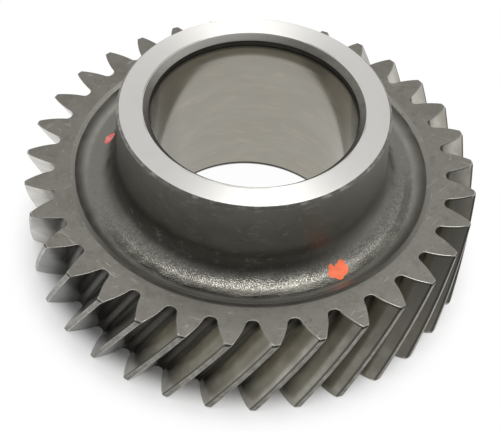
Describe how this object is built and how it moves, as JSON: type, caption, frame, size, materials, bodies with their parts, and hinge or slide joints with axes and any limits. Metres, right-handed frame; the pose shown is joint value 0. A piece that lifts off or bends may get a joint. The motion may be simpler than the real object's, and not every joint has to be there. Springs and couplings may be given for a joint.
{
  "type": "helical transmission gear",
  "caption": "Helical gear with a tall hub on one side, a ground thrust ring, a large plain bore and a forged recess between hub and toothed rim.",
  "frame": {"origin": "centre of the underside, on the axis of the bore, with the gear lying on its underside", "axes": "+Z along the bore from the underside to the thrust ring; +X through a tooth tip at the underside"},
  "size_m": [0.1616, 0.1616, 0.0661],
  "materials": {
    "steel": "case-hardened steel: ground on the thrust ring and in the bore, turned on the rim faces, hobbed and shaved on the teeth, forged and shot-blasted in the recess"
  },
  "bodies": {
    "root": {"helical_gear": "steel"}
  },
  "joints": []
}
